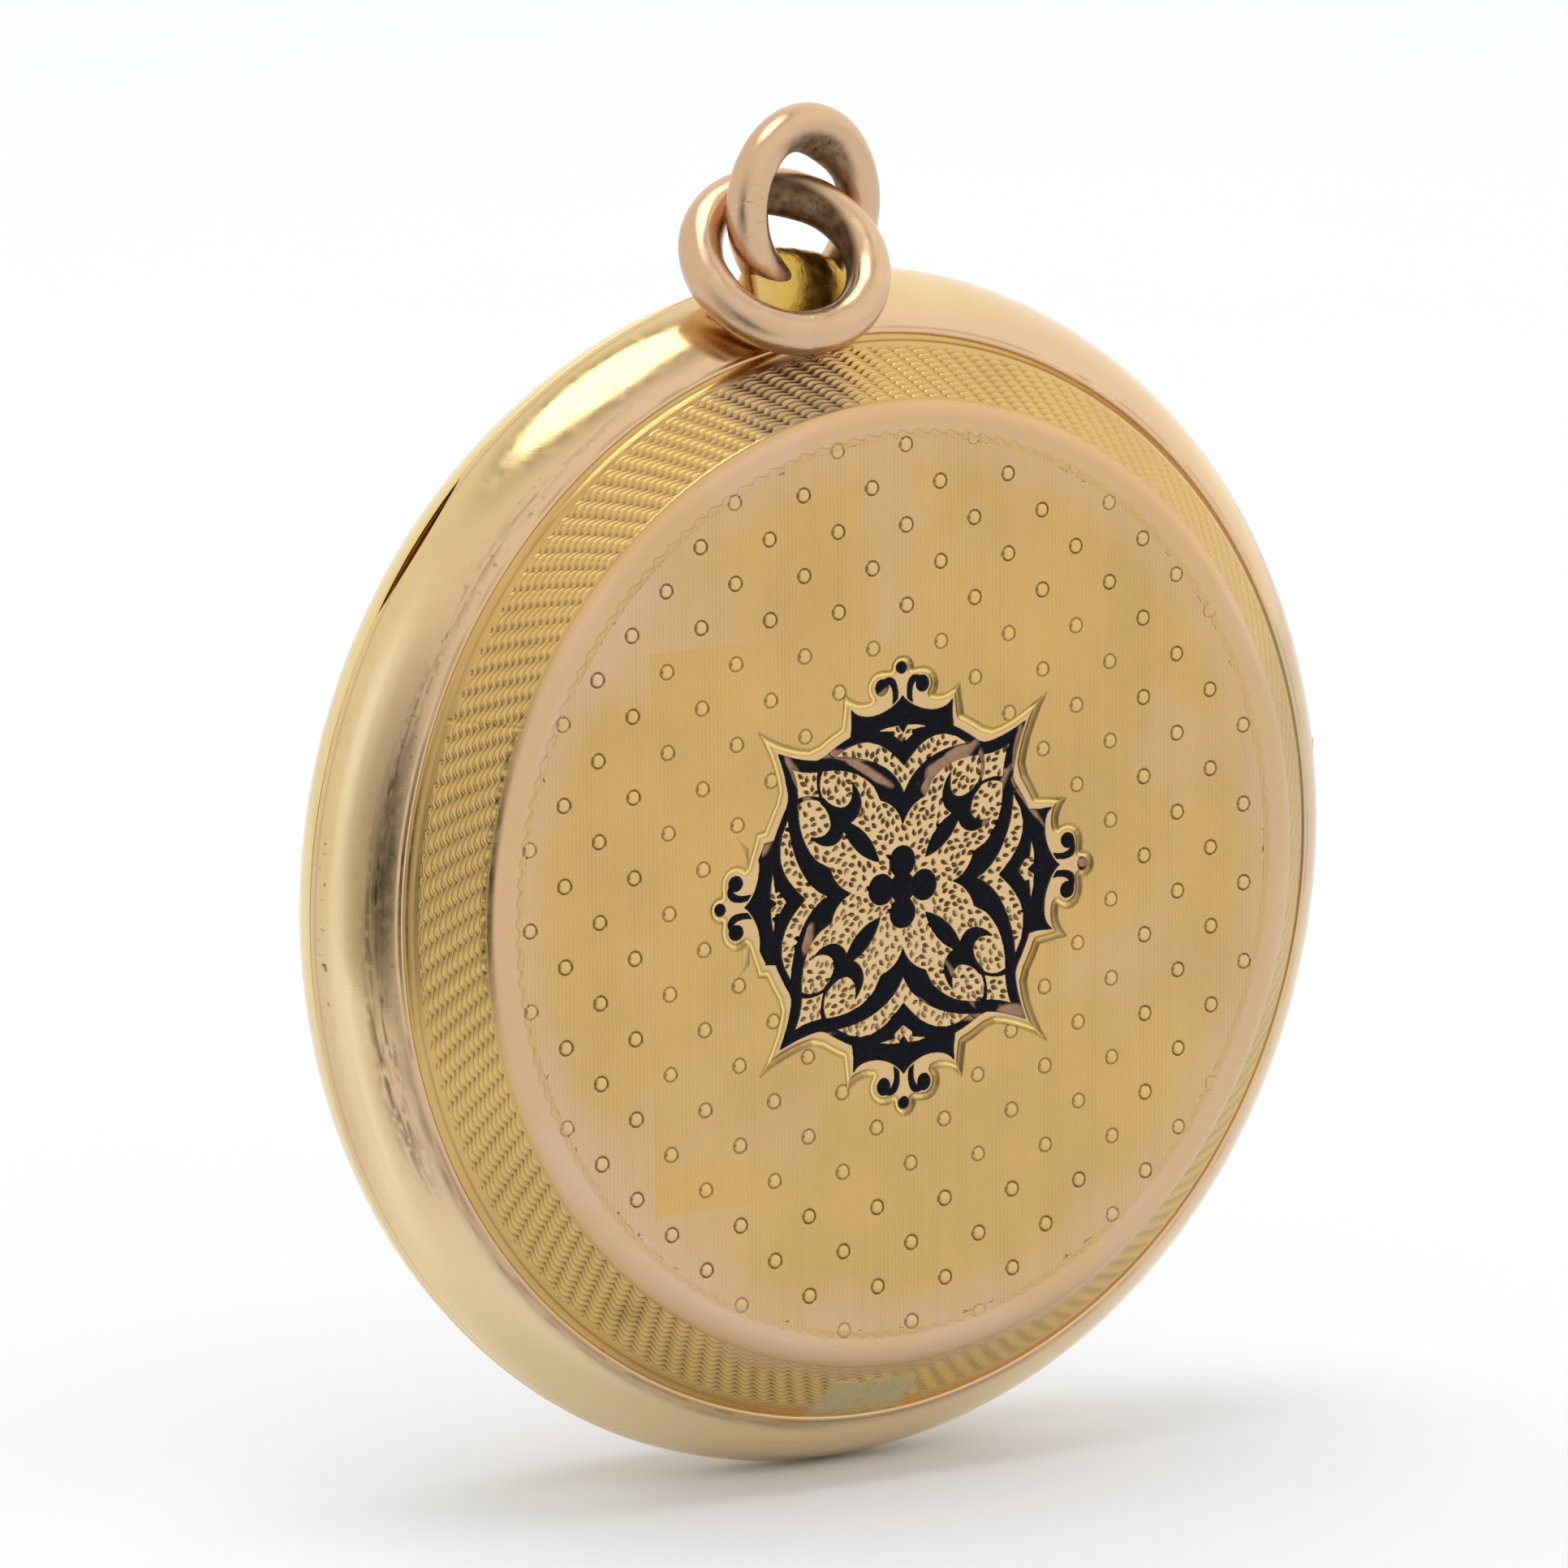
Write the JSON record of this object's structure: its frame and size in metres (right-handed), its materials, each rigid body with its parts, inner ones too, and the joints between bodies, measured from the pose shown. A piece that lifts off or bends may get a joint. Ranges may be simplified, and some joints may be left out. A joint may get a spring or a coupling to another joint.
{
  "type": "round hinged photo locket",
  "caption": "Round hinged locket with an engine-turned rim band, a black enamel ornament, two glazed photo recesses, a soldered bail eye and a loose jump ring.",
  "frame": {"origin": "centre of the round case in the plane of the seam between its two halves", "axes": "-Y out of the ornamented front, +Z towards the bail, +X towards the hinge side"},
  "size_m": [0.0343, 0.0082, 0.0388],
  "materials": {
    "case_gold": "polished and engine-turned gold with light wear",
    "rosy_gold": "polished rosy gold wire",
    "black_enamel": "glossy opaque enamel",
    "clear_glass": "clear",
    "paper_card": "blank aged paper"
  },
  "bodies": {
    "front_case": {"front_rim": "case_gold", "front_inner_wall": "case_gold", "front_plate": "case_gold", "front_photo_frame": "case_gold", "front_glass": "clear_glass", "front_photo_card": "paper_card", "front_knuckles": "case_gold", "hinge_pin": "case_gold", "bail_eye": "rosy_gold", "bail_foot": "case_gold", "enamel_flower": "black_enamel", "enamel_tracery": "black_enamel", "enamel_crowns": "black_enamel", "enamel_finials": "black_enamel"},
    "back_cover": {"back_rim": "case_gold", "back_inner_wall": "case_gold", "back_plate": "case_gold", "back_photo_frame": "case_gold", "back_glass": "clear_glass", "back_photo_card": "paper_card", "back_knuckles": "case_gold"},
    "jump_ring": {"jump_ring": "rosy_gold"}
  },
  "joints": [
    {"name": "cover_hinge", "type": "hinge", "parent": "front_case", "child": "back_cover", "pos_m": [0.0169, 0.0003, 0], "axis": [0, 0, -1], "range_deg": [0, 150]},
    {"name": "jump_ring_swing", "type": "hinge", "parent": "front_case", "child": "jump_ring", "pos_m": [-0.00022, -0.00088, 0.01905], "axis": [-0.5448, 0.8378, -0.036], "range_deg": [0, 160]}
  ]
}
